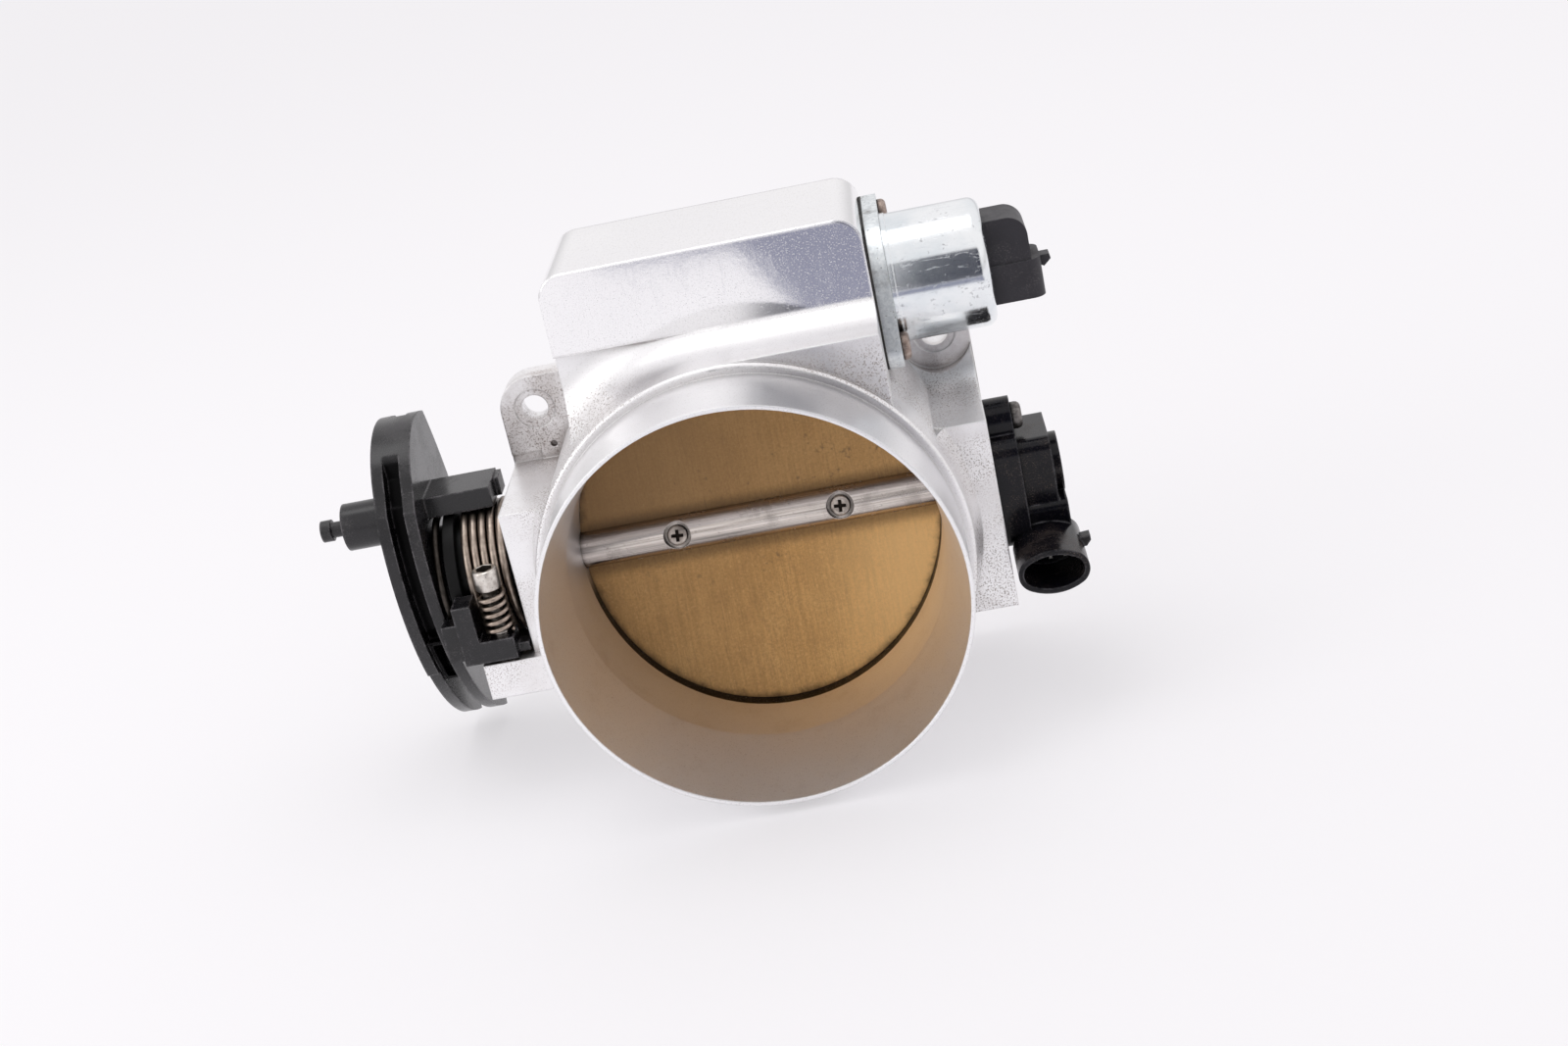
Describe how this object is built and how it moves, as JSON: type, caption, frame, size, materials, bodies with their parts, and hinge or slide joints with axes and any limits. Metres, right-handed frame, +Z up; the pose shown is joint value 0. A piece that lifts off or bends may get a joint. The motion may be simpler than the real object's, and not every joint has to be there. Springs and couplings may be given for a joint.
{
  "type": "throttle body",
  "caption": "Billet cable-operated throttle body with brass butterfly blade, sprung cable cam, idle stop screw, idle air motor and throttle position sensor.",
  "frame": {"origin": "centre of the engine-side face of the bolt flange, on the throttle bore's axis", "axes": "+Y along the bore into the engine, +X along the throttle shaft towards the position sensor, +Z up towards the idle air block"},
  "size_m": [0.191, 0.0883, 0.1302],
  "materials": {
    "billet": "machined and partly polished",
    "bearing_steel": "ground",
    "shaft_steel": "ground",
    "blade_brass": "brushed",
    "screw_steel": "plain",
    "black_plastic": "satin",
    "rubber": "matte",
    "spring_wire": "oil tempered",
    "zinc_plate": "zinc plated",
    "brown_screw": "phosphated",
    "sensor_plastic": "glossy",
    "copper_coil": "enamelled wire",
    "magnet": "plain",
    "contact": "plated",
    "rotor_plastic": "moulded",
    "card": "printed"
  },
  "bodies": {
    "body": {"housing": "billet", "bearing_left": "bearing_steel", "bearing_right": "bearing_steel", "seal_left": "rubber", "seal_right": "rubber", "passage_plug": "billet", "return_spring": "spring_wire", "helper_spring": "spring_wire", "spring_guide": "black_plastic", "spring_spacer": "black_plastic", "iac_gasket": "rubber", "iac_flange": "zinc_plate", "iac_can": "zinc_plate", "iac_screws": "brown_screw", "iac_stator": "copper_coil", "iac_pintle_spring": "spring_wire", "iac_connector": "black_plastic", "iac_terminals": "contact", "tps_base": "sensor_plastic", "tps_cover": "sensor_plastic", "tps_seal": "rubber", "tps_element": "card", "tps_screws": "brown_screw", "tps_terminals": "contact"},
    "throttle": {"throttle_shaft": "shaft_steel", "throttle_blade": "blade_brass", "blade_screws": "screw_steel", "cable_cam": "black_plastic", "cam_insert": "screw_steel", "cam_washer": "screw_steel", "cam_nut": "screw_steel", "idle_screw_spring": "spring_wire"},
    "idle_stop": {"idle_screw": "screw_steel"},
    "wiper": {"tps_rotor": "rotor_plastic"},
    "motor": {"iac_rotor": "magnet"},
    "pintle": {"iac_pintle": "magnet"}
  },
  "joints": [
    {"name": "throttle_turn", "type": "hinge", "parent": "body", "child": "throttle", "pos_m": [0, -0.022, 0], "axis": [-1, 0, 0], "range_deg": [0, 76], "stiffness_Nm_per_rad": 0.3, "springref_deg": -57.3},
    {"name": "wiper_turn", "type": "hinge", "parent": "body", "child": "wiper", "pos_m": [0, -0.022, 0], "axis": [-1, 0, 0], "range_deg": [0, 76]},
    {"name": "motor_turn", "type": "hinge", "parent": "body", "child": "motor", "pos_m": [0.054, -0.02, 0.0548], "axis": [1, 0, 0], "range_deg": [0, 2880]},
    {"name": "pintle_slide", "type": "slide", "parent": "body", "child": "pintle", "axis": [-1, 0, 0], "range_m": [0, 0.008]},
    {"name": "idle_adjust", "type": "slide", "parent": "throttle", "child": "idle_stop", "axis": [0, 0, 1], "range_m": [0, 0.0025]}
  ],
  "couplings": [
    {"joint": "wiper_turn", "follows": "throttle_turn", "ratio": 1},
    {"joint": "pintle_slide", "follows": "motor_turn", "m_per_rad": 0.00015915}
  ]
}
